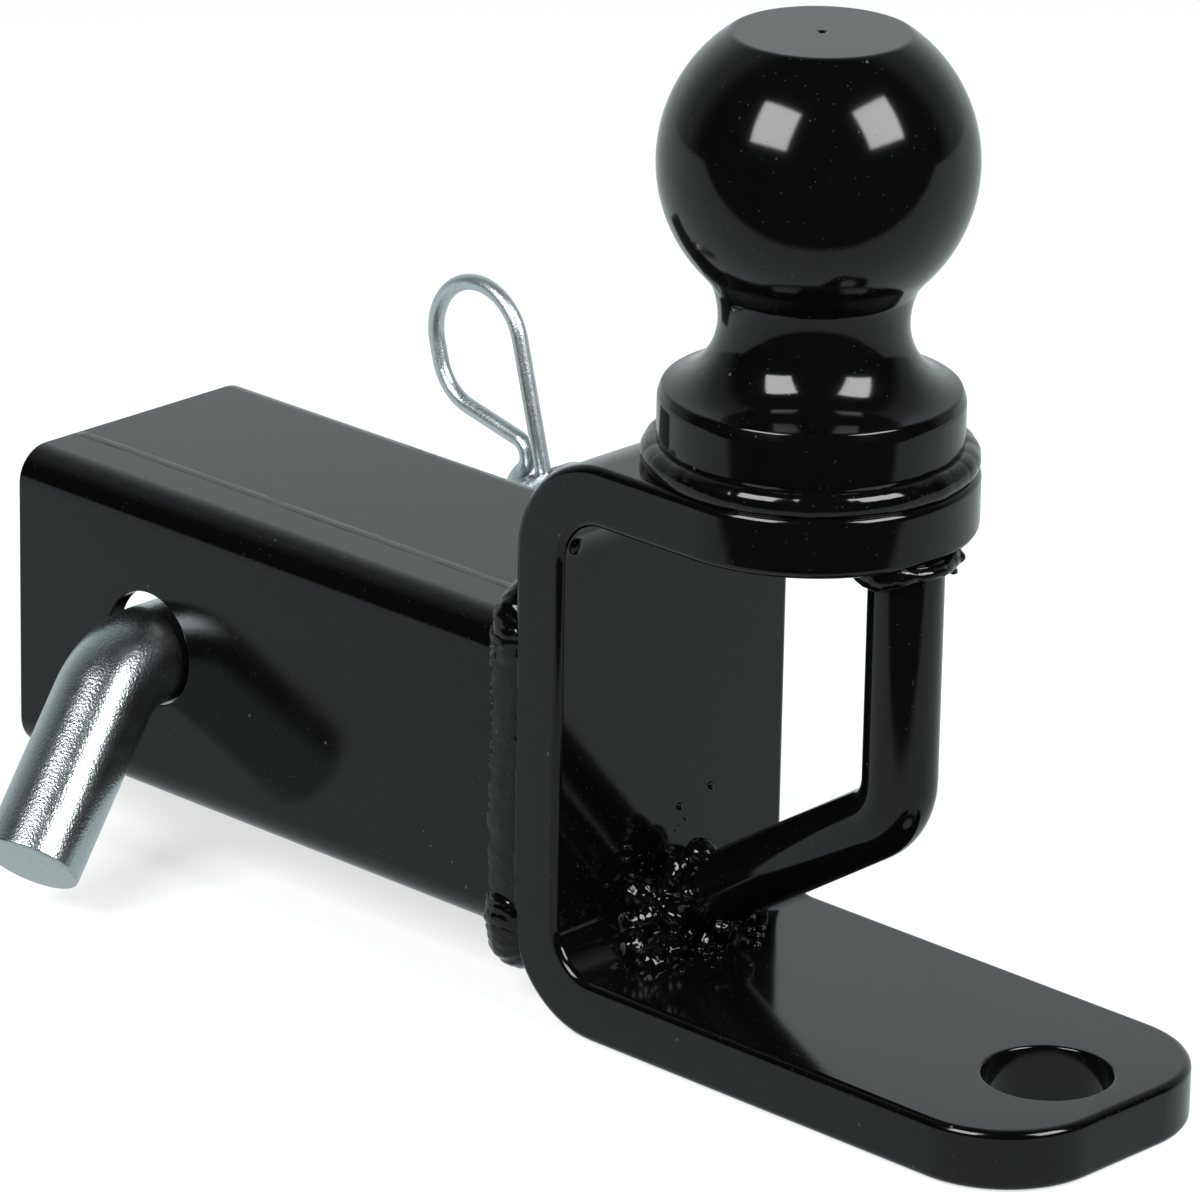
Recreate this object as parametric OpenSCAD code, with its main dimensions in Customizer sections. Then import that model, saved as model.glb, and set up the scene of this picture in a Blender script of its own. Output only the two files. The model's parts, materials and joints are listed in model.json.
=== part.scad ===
// Three-way hitch for a 2 inch receiver.
// A square tube shank carries a C-shaped bar. The bar has a ball on its top leg, a
// drawbar pin hole in its tongue, and a round rod bent into a tow loop between them.
// A bent receiver pin passes through the shank and is kept in by an R-shaped clip.
//
// Millimetres. X runs along the shank towards the tongue and Z is up. The origin is
// where the axis of the receiver pin hole crosses the middle of the shank.

/* [Shank] */
// Outside width and height of the square tube
shank_w = 50.8; // [44:0.2:64]
// Wall thickness of the tube
shank_wall = 3.2; // [2:0.1:6]
// Outside corner radius of the tube
shank_corner = 7; // [6.5:0.5:11]
// Open end of the tube to the middle of the pin hole
shank_tail = 30; // [20:1:60]
// Middle of the pin hole to the back of the bracket
shank_reach = 80; // [50:1:200]
// Bore of the receiver pin hole
pin_hole_d = 18.5; // [16.7:0.1:22]

/* [Bracket] */
// How much wider the flat bar is than the shank
bar_extra = 0; // [0:0.2:13]
// Thickness of the flat bar
bar_t = 9.5; // [6:0.1:14]
// Inside radius of both bends
bend_r = 7.5; // [5:0.1:10]
// Top of the shank up to the ball seat
seat_rise = 29.8; // [22:0.1:70]
// Underside of the shank down to the underside of the tongue
tongue_drop = 11.4; // [8:0.1:20]
// Back of the bracket to the ball axis
ball_setback = 36; // [32:0.5:60]
// Back of the bracket to the tongue hole
tongue_reach = 86.5; // [76:0.5:140]
// Tongue hole to the end of the tongue
tongue_lip = 15.5; // [13:0.5:25]
// Corner radius at the end of the tongue
tongue_corner = 17; // [6:0.5:21]
// Drawbar pin hole in the tongue
tongue_hole_d = 19.6; // [12.8:0.1:21]

/* [Ball] */
// Ball diameter
ball_d = 47.6; // [44:0.1:50.8]
// Seat to the middle of the ball
ball_rise = 46.5; // [42:0.5:62]
// Flat on top of the ball
ball_flat_d = 26.8; // [16:0.2:30]
// Neck under the ball
neck_d = 28.4; // [24:0.2:32]
// Radius of the flare from the neck to the base
flare_r = 10.5; // [9:0.1:12]
// Diameter of the base
base_d = 45.8; // [43:0.2:46]
// Height of the straight side of the base
base_h = 10.4; // [7:0.1:11]
// Width of the bevel on the rim of the base
base_bevel_w = 0.6; // [0.3:0.1:1.2]
// Height of that bevel
base_bevel_h = 1.6; // [0.6:0.1:2.4]

/* [Tow loop] */
// Diameter of the round rod
loop_d = 11.4; // [9.5:0.1:12.7]
// Tip of the top leg to the outside of the rod
loop_inset = 0; // [0:0.5:5]
// Top of the tongue up to the knee of the loop
loop_knee = 32.3; // [24:0.1:38]
// Radius of the knee along the middle of the rod
loop_bend_r = 10; // [8:0.5:14]

/* [Receiver pin] */
// Diameter of the pin
pin_d = 15.9; // [12.7:0.1:16]
// Bend of the handle away from the line of the pin
handle_bend = 46; // [30:1:80]
// Radius of that bend along the middle of the pin
handle_bend_r = 15; // [12:0.5:25]
// Straight length of the handle
handle_l = 29.5; // [20:0.5:60]
// Face of the shank to the clip hole
clip_reach = 40; // [20:0.5:60]
// Clip hole to the tip of the pin
pin_tip = 9; // [6:0.5:15]
// Bevel on the tip of the pin
pin_bevel = 1.5; // [0.5:0.1:3]
// Turn of the pin and clip about the line of the pin
pin_turn = 15; // [-45:1:45]

/* [Clip] */
// Wire of the clip
clip_wire = 2.7; // [2:0.1:3.2]
// Width of the loop between the middles of the wire
clip_loop_w = 19.7; // [17:0.1:24]
// Line of the pin up to the middle of the loop
clip_loop_z = 30.3; // [29:0.1:40]
// Straight leg below the line of the pin
clip_leg = 21; // [16:0.5:32]
// Slope of the wire from the loop to the throat
clip_slope = 28; // [20:1:35]
// Radius of the lower side of the loop
clip_side_r = 9; // [6:0.5:10]
// Radius of the throat
clip_throat_r = 3; // [2.5:0.1:3.5]
// Where the bow ends, measured round the pin from the side
clip_bow_end = 235; // [215:1:240]
// Radius of the curled tail
clip_tail_r = 4; // [3:0.5:5]
// Turn of the curled tail
clip_tail_turn = 60; // [30:5:80]

/* [Welds] */
// Leg of the fillet between the shank and the bracket
shank_fillet = 7; // [4:0.5:8]
// How far the beads on the sides stand out
side_bead = 0.9; // [0.5:0.1:1.5]
// Radius of the bead round the base of the ball
ball_bead = 2.4; // [1.5:0.1:2.5]
// Leg of the fillet between the tow loop and the top leg
loop_fillet = 5; // [3:0.5:6]
// Radius of the lump of weld at the foot of the tow loop
foot_weld_r = 10; // [8:0.5:13]
// Width of that lump across the bar
foot_weld_w = 30; // [20:1:44]

/* [Fit] */
// Gap left where a loose piece rests on another
seat_gap = 0.3; // [0.2:0.05:0.4]

/* [Hidden] */
$fn = 72;
over = 1;
joint_step = 0.04;
joint_lap = 0.2;
fillet_toe = 0.6;
foot_taper = 0.35;

shank_h = shank_w / 2;
bar_w = shank_w + bar_extra;
bend_out = bend_r + bar_t;

bar_back = shank_reach;
bar_face = bar_back + bar_t;
foot_z = -shank_h - tongue_drop;
tongue_z = foot_z + bar_t;
seat_z = shank_h + seat_rise;
under_z = seat_z - bar_t;
ball_x = bar_back + ball_setback;
hole_x = bar_back + tongue_reach;
tongue_end = hole_x + tongue_lip;

ball_z = seat_z + ball_rise;
flat_z = sqrt(pow(ball_d / 2, 2) - pow(ball_flat_d / 2, 2));
rim_r = base_d / 2 - base_bevel_w;
rim_z = base_h + base_bevel_h;
flare_x = neck_d / 2 + flare_r;
flare_z = rim_z + sqrt(pow(flare_r, 2) - pow(flare_x - rim_r, 2));

loop_r = loop_d / 2;
loop_x = ball_x + bar_w / 2 - loop_inset - loop_r;
knee_z = tongue_z + loop_knee;
corner_x = bar_face + bend_r;
corner_z = tongue_z + bend_r;
loop_a = atan2(knee_z - corner_z, loop_x - corner_x);
loop_turn = 90 - loop_a;
loop_trim = loop_bend_r * tan(loop_turn / 2);
loop_room = bend_r - seat_gap;
loop_seat = loop_room > loop_r ? sqrt(pow(loop_room, 2) - pow(loop_r, 2))
                               : 1.5 * (loop_room - loop_r);
loop_top = [loop_x, knee_z + loop_trim];
loop_low = [loop_x, knee_z] - loop_trim * [cos(loop_a), sin(loop_a)];
arm_l = norm([loop_x - corner_x, knee_z - corner_z]) + loop_seat - loop_trim;

pin_z = seat_gap - (pin_hole_d - pin_d) / 2;
clip_y = shank_h + clip_reach;
clip_hole_d = clip_wire + 2 * seat_gap;

bow_r = pin_d / 2 + clip_wire / 2 + seat_gap;
throat_u = -(clip_wire + seat_gap) - clip_throat_r;
throat_s = sqrt(pow(bow_r + clip_throat_r, 2) - pow(throat_u, 2));
bow_start = atan2(throat_s, throat_u);
slope_end = [throat_u + clip_throat_r * sin(clip_slope),
             throat_s + clip_throat_r * cos(clip_slope)];
side_turn = 90 - clip_slope;
side_u = clip_side_r - clip_loop_w;
slope_u = side_u - clip_side_r * cos(side_turn);
slope_l = (slope_end[0] - slope_u) / cos(clip_slope);
slope_s = slope_end[1] + slope_l * sin(clip_slope);
side_s = slope_s + clip_side_r * sin(side_turn);
tail_c = (bow_r + clip_tail_r) * [cos(clip_bow_end), sin(clip_bow_end)];

enamel = [0.03, 0.03, 0.035];
bead_paint = [0.05, 0.05, 0.055];
zinc = [0.72, 0.74, 0.76];

// A block from one corner to the opposite one
module block(low, high) {
    translate(low) cube(high - low);
}

// A square bar along X with round corners
module square_bar(w, r, x0, x1) {
    h = w / 2;
    block([x0, r - h, -h], [x1, h - r, h]);
    block([x0, -h, r - h], [x1, h, h - r]);
    for (y = [-1, 1], z = [-1, 1])
        translate([x0, y * (h - r), z * (h - r)]) rotate([0, 90, 0]) cylinder(r = r, h = x1 - x0);
}

// Round wire drawn in the XY plane. A bend is a hair thicker than what it joins, and
// what it joins runs a little way into it.

// Straight wire from point p in direction a, run on past its start and end by laps
module wire_bar(p, a, l, d, laps = [joint_lap, joint_lap]) {
    translate([p[0], p[1], 0]) rotate([0, 0, a]) translate([-laps[0], 0, 0])
        rotate([0, 90, 0]) cylinder(d = d, h = laps[0] + l + laps[1]);
}

// Bend round centre c from angle a0 to angle a1
module wire_bend(c, r, a0, a1, d) {
    translate([c[0], c[1], 0]) rotate([0, 0, a0])
        rotate_extrude(angle = a1 - a0) translate([r, 0]) circle(d = d + joint_step);
}

// Bend that runs from one bend straight into another
module wire_mid_bend(c, r, a0, a1, d) {
    lap = joint_lap / r * 180 / PI;
    wire_bend(c, r, a0 - lap, a1 + lap, d - joint_step);
}

module shank_tube() {
    color(enamel) difference() {
        square_bar(shank_w, shank_corner, -shank_tail, shank_reach);
        square_bar(shank_w - 2 * shank_wall, max(shank_corner - shank_wall, 1),
                   -shank_tail - over, shank_reach + over);
        rotate([90, 0, 0]) cylinder(d = pin_hole_d, h = shank_w + 2 * over, center = true);
    }
}

// Quarter bend of the flat bar: side is 1 at the top and -1 at the bottom
module bar_bend(z, side) {
    translate([bar_back + bend_out, 0, z]) intersection() {
        rotate([90, 0, 0]) difference() {
            cylinder(r = bend_out, h = bar_w, center = true);
            cylinder(r = bend_r, h = bar_w + 2 * over, center = true);
        }
        translate([-bend_out, -bar_w, side > 0 ? 0 : -bend_out])
            cube([bend_out, 2 * bar_w, bend_out]);
    }
}

module bar_body() {
    h = bar_w / 2;
    block([bar_back, -h, foot_z + bend_out], [bar_face, h, seat_z - bend_out]);
    bar_bend(seat_z - bend_out, 1);
    bar_bend(foot_z + bend_out, -1);
    block([bar_back + bend_out, -h, under_z], [ball_x, h, seat_z]);
    translate([ball_x, 0, under_z]) cylinder(d = bar_w, h = bar_t);
    block([bar_back + bend_out, -h, foot_z], [tongue_end - tongue_corner, h, tongue_z]);
    block([tongue_end - tongue_corner, tongue_corner - h, foot_z],
          [tongue_end, h - tongue_corner, tongue_z]);
    for (y = [-1, 1])
        translate([tongue_end - tongue_corner, y * (h - tongue_corner), foot_z])
            cylinder(r = tongue_corner, h = bar_t);
}

module bracket_plate() {
    color(enamel) difference() {
        bar_body();
        translate([hole_x, 0, foot_z - over]) cylinder(d = tongue_hole_d, h = bar_t + 2 * over);
    }
}

module hitch_ball() {
    color(enamel) translate([ball_x, 0, seat_z]) {
        cylinder(d = base_d, h = base_h);
        translate([0, 0, base_h]) cylinder(d1 = base_d, r2 = rim_r, h = base_bevel_h);
        rotate_extrude() difference() {
            translate([0, rim_z]) square([rim_r, flare_z - rim_z]);
            translate([flare_x, flare_z]) circle(r = flare_r);
        }
        translate([0, 0, rim_z]) cylinder(d = neck_d, h = ball_rise - rim_z);
        translate([0, 0, ball_rise]) difference() {
            sphere(d = ball_d);
            translate([-ball_d, -ball_d, flat_z]) cube(2 * ball_d);
        }
    }
}

module loop_upright() {
    wire_bar(loop_top, 90, under_z - loop_top[1], loop_d, [joint_lap, 0]);
}

module loop_arm() {
    wire_bar(loop_low, 180 + loop_a, arm_l, loop_d, [joint_lap, 0]);
}

module tow_loop() {
    color(enamel) rotate([90, 0, 0]) {
        loop_upright();
        wire_bend(loop_top - [loop_bend_r, 0], loop_bend_r, -loop_turn, 0, loop_d);
        loop_arm();
    }
}

// Stands a shape at y on the line of the pin, turned with the pin
module on_pin(y) {
    translate([0, y, pin_z]) rotate([0, -pin_turn, 0]) children();
}

module hitch_pin() {
    tip = clip_y + pin_tip;
    shaft_end = shank_h + tip + joint_lap;
    elbow = [shank_h, -handle_bend_r];
    handle = elbow + handle_bend_r * [sin(handle_bend), cos(handle_bend)];
    color(zinc) on_pin(0) difference() {
        rotate([90, 0, -90]) {
            translate([-tip, 0, 0]) rotate([0, 90, 0]) rotate_extrude()
                polygon([[0, 0], [pin_d / 2 - pin_bevel, 0], [pin_d / 2, pin_bevel],
                         [pin_d / 2, shaft_end], [0, shaft_end]]);
            wire_bend(elbow, handle_bend_r, 90 - handle_bend, 90, pin_d);
            wire_bar(handle, -handle_bend, handle_l, pin_d, [joint_lap, 0]);
        }
        translate([0, clip_y, 0]) cylinder(d = clip_hole_d, h = 2 * pin_d, center = true);
    }
}

module r_clip() {
    tail_in = clip_bow_end - 180;
    color(zinc) on_pin(clip_y) rotate([90, 0, 0]) {
        wire_bar([0, -clip_leg], 90, clip_leg + clip_loop_z, clip_wire, [0, joint_lap]);
        wire_bend([-clip_loop_w / 2, clip_loop_z], clip_loop_w / 2, 0, 180, clip_wire);
        wire_bar([-clip_loop_w, clip_loop_z], 270, clip_loop_z - side_s, clip_wire);
        wire_bend([side_u, side_s], clip_side_r, 180, 180 + side_turn, clip_wire);
        wire_bar([slope_u, slope_s], -clip_slope, slope_l, clip_wire);
        wire_bend([throat_u, throat_s], clip_throat_r, bow_start - 180, 90 - clip_slope,
                  clip_wire);
        wire_mid_bend([0, 0], bow_r, bow_start, clip_bow_end, clip_wire);
        wire_bend(tail_c, clip_tail_r, tail_in - clip_tail_turn, tail_in, clip_wire);
    }
}

module weld_ball_ring() {
    color(bead_paint) translate([ball_x, 0, seat_z]) rotate_extrude() intersection() {
        translate([base_d / 2, 0.6 * ball_bead]) circle(r = ball_bead);
        translate([base_d / 2, 0]) square(2 * ball_bead);
    }
}

module weld_loop_top() {
    color(bead_paint) difference() {
        intersection() {
            translate([loop_x, 0, under_z - loop_fillet])
                cylinder(r1 = loop_r + fillet_toe, r2 = loop_r + loop_fillet, h = loop_fillet);
            translate([ball_x, 0, under_z - 2 * loop_fillet])
                cylinder(r = bar_w / 2 + side_bead, h = 2 * loop_fillet);
        }
        rotate([90, 0, 0]) loop_upright();
    }
}

// Lump of weld round the foot of the loop, turned about the line of the inside bend
module weld_loop_foot() {
    bulge = foot_weld_r * (1 - foot_taper);
    r = (pow(foot_weld_w / 2, 2) + pow(bulge, 2)) / (2 * bulge);
    color(bead_paint) difference() {
        translate([corner_x, 0, corner_z]) rotate([90, 0, 0]) rotate_extrude() intersection() {
            translate([foot_weld_r - r, 0]) circle(r = r);
            translate([0, -foot_weld_w / 2]) square([foot_weld_r, foot_weld_w]);
        }
        bar_body();
        rotate([90, 0, 0]) loop_arm();
    }
}

// Fillet round the end of the tube, its full leg at x1
module shank_fillet_ring(x1) {
    x0 = shank_reach - shank_fillet;
    h = shank_h;
    c = h - shank_corner;
    for (a = [0, 180]) rotate([a, 0, 0]) {
        translate([0, c, 0]) rotate([90, 0, 0]) linear_extrude(2 * c)
            polygon([[x0, 0], [x0, h], [x1, h + shank_fillet], [x1, 0]]);
        for (y = [-1, 1]) translate([x0, y * c, c]) rotate([0, 90, 0])
            cylinder(r1 = shank_corner, r2 = shank_corner + shank_fillet, h = x1 - x0);
    }
}

module shank_bead(x1, side) {
    h = shank_h;
    c = h - shank_corner;
    wide = h + side_bead;
    color(bead_paint) difference() {
        intersection() {
            shank_fillet_ring(x1);
            block([0, -wide, side > 0 ? c : -2 * h], [x1, wide, side > 0 ? 2 * h : -c]);
        }
        square_bar(shank_w, shank_corner, -over, shank_reach);
        bar_body();
        block([shank_reach, -wide, -c], [bar_face, wide, c]);
    }
}

module weld_shank_top() {
    shank_bead(shank_reach, 1);
}

module weld_shank_bottom() {
    shank_bead(bar_back + bend_out
        - sqrt(pow(bend_out, 2) - pow(bend_out + shank_fillet - tongue_drop, 2)), -1);
}

// Flat bead on one side of the shank, up to the back of the bracket
module side_weld(side) {
    chord = shank_fillet / 2;
    r = (pow(chord, 2) + pow(side_bead, 2)) / (2 * side_bead);
    c = shank_h - shank_corner;
    color(bead_paint) translate([shank_reach - chord, 0, -c]) intersection() {
        translate([0, side * (shank_h + side_bead - r), 0]) cylinder(r = r, h = 2 * c);
        translate([-chord, side > 0 ? shank_h : -shank_h - r, 0]) cube([2 * chord, r, 2 * c]);
    }
}

module weld_shank_left() {
    side_weld(1);
}

module weld_shank_right() {
    side_weld(-1);
}

shank_tube();
bracket_plate();
hitch_ball();
tow_loop();
hitch_pin();
r_clip();
weld_ball_ring();
weld_loop_top();
weld_loop_foot();
weld_shank_top();
weld_shank_bottom();
weld_shank_left();
weld_shank_right();
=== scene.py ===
"""Builds the finished look of a three-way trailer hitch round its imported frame.

Lengths are in metres. X runs along the shank towards the tongue, Z is up, and the origin is where the axis
of the receiver pin hole crosses the middle of the shank.
"""

import json
import math
import random

import bmesh
import bpy
import numpy as np
from bpy.props import FloatProperty, FloatVectorProperty, IntProperty, PointerProperty
from mathutils import Matrix, Vector, noise


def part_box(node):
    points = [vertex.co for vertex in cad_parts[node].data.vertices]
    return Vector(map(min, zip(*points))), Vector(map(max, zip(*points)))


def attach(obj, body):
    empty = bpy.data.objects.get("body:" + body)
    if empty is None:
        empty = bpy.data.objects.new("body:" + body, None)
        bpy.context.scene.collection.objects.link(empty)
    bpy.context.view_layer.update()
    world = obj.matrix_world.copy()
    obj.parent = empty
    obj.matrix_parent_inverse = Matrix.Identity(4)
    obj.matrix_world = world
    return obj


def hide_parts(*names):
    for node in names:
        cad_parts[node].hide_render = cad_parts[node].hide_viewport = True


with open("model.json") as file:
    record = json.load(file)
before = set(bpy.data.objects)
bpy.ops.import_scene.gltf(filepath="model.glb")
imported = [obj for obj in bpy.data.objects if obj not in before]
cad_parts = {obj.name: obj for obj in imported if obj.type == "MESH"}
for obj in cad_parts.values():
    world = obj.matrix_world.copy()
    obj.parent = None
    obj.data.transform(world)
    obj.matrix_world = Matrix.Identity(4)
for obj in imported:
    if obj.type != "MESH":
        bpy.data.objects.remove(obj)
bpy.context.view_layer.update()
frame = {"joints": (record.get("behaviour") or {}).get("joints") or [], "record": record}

bl_info = {
    "name": "Trailer hitch",
    "version": (1, 0, 0),
    "blender": (4, 5, 0),
    "location": "View3D > Sidebar > Hitch",
    "description": "Builds a three-way trailer hitch with its ball, tow loop, pin and clip",
    "category": "Add Mesh",
}

MM = 0.001
ENAMEL_IOR = 1.36
MOUNTS = {m["name"]: m for m in frame["record"]["mounts"]}
TUBE_LOW, TUBE_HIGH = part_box("shank_tube")
BAR_LOW, BAR_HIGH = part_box("bracket_plate")
BALL_LOW, BALL_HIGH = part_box("hitch_ball")
PIN_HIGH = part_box("hitch_pin")[1]
CLIP_LOW, CLIP_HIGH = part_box("r_clip")
BALL_CENTRE = Vector(MOUNTS["ball"]["pos_m"])
TONGUE_HOLE = Vector(MOUNTS["tongue_pin_hole"]["pos_m"])
TONGUE_HOLE_R = MOUNTS["tongue_pin_hole"]["dims"]["r_mm"] * MM
BAR_THICK = MOUNTS["tongue_pin_hole"]["dims"]["length_mm"] * MM
CLIP_AXIS = Vector(next(j for j in frame["joints"] if j["name"] == "clip_pull")["axis"])
CLIP_SIDE = Vector((CLIP_AXIS.z, 0, -CLIP_AXIS.x))
CLIP_Y = (CLIP_LOW.y + CLIP_HIGH.y) / 2
CLIP_GAP = 0.3 * MM
PIN_AXIS_Z = -1.0 * MM
FOOT_PAST_BEND = 4.4 * MM
CUT_EDGE = 0.5 * MM
FLAT_END = 0.2 * MM
UPRIGHT = ((1, 0, 0), (0, 1, 0), (0, 0, 1))
ACROSS = Vector((0, 1, 0))

# Points that are closer than this count as one
TINY = 1e-6

# Points round a turned or swept section
RING, WIRE_RING, PIN_RING, BALL_RING = 64, 32, 96, 144

# Stations along one bend or the tongue's end, and along the round end of the top leg
BEND_STATIONS, LEG_STATIONS = 19, 31


def length(name, description, default):
    """A length property in metres"""
    return FloatProperty(name=name, description=description, default=default, min=0.0,
                         subtype="DISTANCE", unit="LENGTH")


def colour(name, description, default):
    """A linear colour property"""
    return FloatVectorProperty(name=name, description=description, default=default, size=3,
                               min=0.0, max=1.0, subtype="COLOR")


def share(name, description, default):
    """A property from 0 to 1"""
    return FloatProperty(name=name, description=description, default=default, min=0.0, max=1.0,
                         subtype="FACTOR")


def angle(name, description, degrees):
    """An angle property"""
    return FloatProperty(name=name, description=description, default=math.radians(degrees),
                         subtype="ANGLE", unit="ROTATION")


class HitchShankSizes(bpy.types.PropertyGroup):
    """Sizes of the square tube"""

    wall: length("Wall", "Wall of the tube", 3.2 * MM)
    corner: length("Corner", "Outside corner radius", 5.5 * MM)
    hole: length("Pin hole", "Bore of the receiver pin hole", 18.5 * MM)
    end_round: length("End rounding", "Rounding of the sawn end", 0.5 * MM)
    hole_round: length("Hole rounding", "Rounding of the edge of the pin hole", 0.35 * MM)
    seam_place: length("Seam", "Middle of the top face to the seam of the tube", 12.7 * MM)


class HitchBracketSizes(bpy.types.PropertyGroup):
    """Sizes of the bent flat bar"""

    bend: length("Inside bend", "Inside radius of both bends", 7.5 * MM)
    corner: length("Tongue corner", "Corner radius at the end of the tongue", 17.0 * MM)
    edge: length("Edge", "Rounding along the edges of the bar", 1.3 * MM)
    hole_edge: length("Hole edge", "Rounding round the drawbar hole", 0.5 * MM)


class HitchBallSizes(bpy.types.PropertyGroup):
    """Sizes of the ball"""

    flat: length("Flat", "Diameter of the flat on top", 26.8 * MM)
    neck: length("Neck", "Diameter of the neck", 28.4 * MM)
    flare: length("Flare", "Radius of the flare above the base", 10.5 * MM)
    waist: length("Waist", "Radius of the hollow between the flare and the ball", 14.0 * MM)
    base: length("Base", "Diameter of the base", 45.8 * MM)
    base_height: length("Base height", "Straight side of the base", 10.4 * MM)
    bevel_width: length("Bevel width", "Width of the bevel on the base", 0.6 * MM)
    bevel_height: length("Bevel height", "Height of the bevel on the base", 1.6 * MM)
    punch: length("Punch mark", "Radius of the centre mark on the flat", 0.7 * MM)


class HitchWireSizes(bpy.types.PropertyGroup):
    """Sizes of the loop, the pin and the clip"""

    loop: length("Loop rod", "Diameter of the tow loop's rod", 11.4 * MM)
    loop_bend: length("Loop bend", "Radius of the loop's knee along the rod", 10.0 * MM)
    loop_knee: length("Loop knee", "Top of the tongue up to the knee", 32.3 * MM)
    pin: length("Pin", "Diameter of the pin", 15.9 * MM)
    pin_bend: length("Pin bend", "Radius of the handle's bend along the pin", 15.0 * MM)
    handle: length("Handle", "Straight length of the handle", 29.5 * MM)
    clip: length("Clip wire", "Diameter of the clip's wire", 2.7 * MM)
    clip_loop: length("Clip loop", "Width of the clip's loop", 19.7 * MM)


class HitchPaint(bpy.types.PropertyGroup):
    """Colours and finishes"""

    enamel: colour("Enamel", "Colour of the gloss enamel", (0.0012, 0.0014, 0.0014))
    dust: colour("Dust", "Colour of the dust on the enamel", (0.035, 0.038, 0.038))
    zinc: colour("Zinc", "Colour of the zinc plate", (0.46, 0.505, 0.525))
    gloss: share("Enamel roughness", "Roughness of the enamel", 0.10)
    zinc_gloss: share("Zinc roughness", "Roughness of the zinc plate", 0.25)


class HitchStage(bpy.types.PropertyGroup):
    """Camera, floor and lights"""

    floor: colour("Floor", "Colour of the floor", (0.86, 0.87, 0.87))
    azimuth: angle("Azimuth", "Turn of the camera round the hitch", 43.6)
    elevation: angle("Elevation", "Height of the camera as an angle", 20.55)
    roll: angle("Roll", "Roll of the camera", 1.08)
    distance: length("Distance", "Camera to the middle of the hitch", 1.263)
    lens: FloatProperty(name="Lens", description="Focal length in millimetres",
                        default=250.16, min=1.0)
    seed: IntProperty(name="Seed", description="Seed of the weld beads", default=7)


# ---------------------------------------------------------------- mesh helpers

def arc(cx, cy, r, a0, a1, step):
    """Points on an arc, both ends included"""
    n = max(2, int(math.ceil(abs(a1 - a0) / step)))
    turns = [a0 + (a1 - a0) * i / n for i in range(n + 1)]
    return [(cx + r * math.cos(t), cy + r * math.sin(t)) for t in turns]


def circle(r, n=RING):
    """Points on a circle round the origin"""
    return [(r * math.cos(t), r * math.sin(t)) for t in np.linspace(0, 2 * math.pi, n, False)]


def standing(point):
    """A point of X and Z as a vector in the plane of symmetry"""
    return Vector((point[0], 0, point[1]))


def quarter(r, n=4):
    """Inset and height of a quarter-round edge, from the face down to the side"""
    return [(r * (1 - math.sin(k * math.pi / 2 / n)), r * (1 - math.cos(k * math.pi / 2 / n)))
            for k in range(n + 1)]


def new_object(name, bm):
    """Turns a bmesh into a smooth object in the scene"""
    bmesh.ops.recalc_face_normals(bm, faces=bm.faces)
    mesh = bpy.data.meshes.new(name)
    bm.to_mesh(mesh)
    bm.free()
    for polygon in mesh.polygons:
        polygon.use_smooth = True
    made = bpy.data.objects.new(name, mesh)
    bpy.context.scene.collection.objects.link(made)
    return made


def new_piece(name, bm, material, body, replaces=()):
    """Turns a bmesh into a piece that rides on a body"""
    piece = new_object(name, bm)
    piece.data.materials.append(bpy.data.materials[material])
    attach(piece, body)
    if replaces:
        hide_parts(*replaces)
    return piece


def keep_flats(piece):
    """Lets large flat faces set the normals at their edges"""
    weigh = piece.modifiers.new("Flat faces", "WEIGHTED_NORMAL")
    weigh.mode = "FACE_AREA"
    weigh.weight = 100
    weigh.keep_sharp = True


def ring_of(bm, points):
    return [bm.verts.new(p) for p in points]


def bridge(bm, a, b):
    """Quads between two rings of as many points"""
    for i in range(len(a)):
        j = (i + 1) % len(a)
        bm.faces.new((a[i], a[j], b[j], b[i]))


def join_rings(bm, rings):
    """Bridges a row of rings, where a ring of one point is a tip"""
    for a, b in zip(rings, rings[1:]):
        if len(a) == 1 or len(b) == 1:
            tip, ring = (a[0], b) if len(a) == 1 else (b[0], a)
            for i in range(len(ring)):
                bm.faces.new((tip, ring[i], ring[(i + 1) % len(ring)]))
        else:
            bridge(bm, a, b)


def fill_between(bm, outer, inners):
    """Fills a flat face with holes"""
    edges = []
    for loop in [outer, *inners]:
        for i, v in enumerate(loop):
            w = loop[(i + 1) % len(loop)]
            edges.append(bm.edges.get((v, w)) or bm.edges.new((v, w)))
    bmesh.ops.triangle_fill(bm, use_beauty=True, edges=edges)


def revolve(bm, profile, centre, segments):
    """Turns (radius, height) points round a vertical axis; ends on the axis close it"""
    x, y, z = centre
    rings = []
    for r, height in profile:
        section = circle(r, segments) if r > TINY else [(0, 0)]
        rings.append(ring_of(bm, [(x + dx, y + dy, z + height) for dx, dy in section]))
    join_rings(bm, rings)
    return rings


def sweep(bm, path, side, radii, segments=RING):
    """Round section along a path that lies in one plane; side is the plane's normal"""
    rings = []
    for i, (p, r) in enumerate(zip(path, radii)):
        ahead = (path[min(i + 1, len(path) - 1)] - path[max(i - 1, 0)]).normalized()
        out = side.cross(ahead).normalized()
        section = circle(1.0, segments) if r > TINY else [(0, 0)]
        rings.append(ring_of(bm, [p + r * (c * out + s * side) for c, s in section]))
    join_rings(bm, rings)


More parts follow.
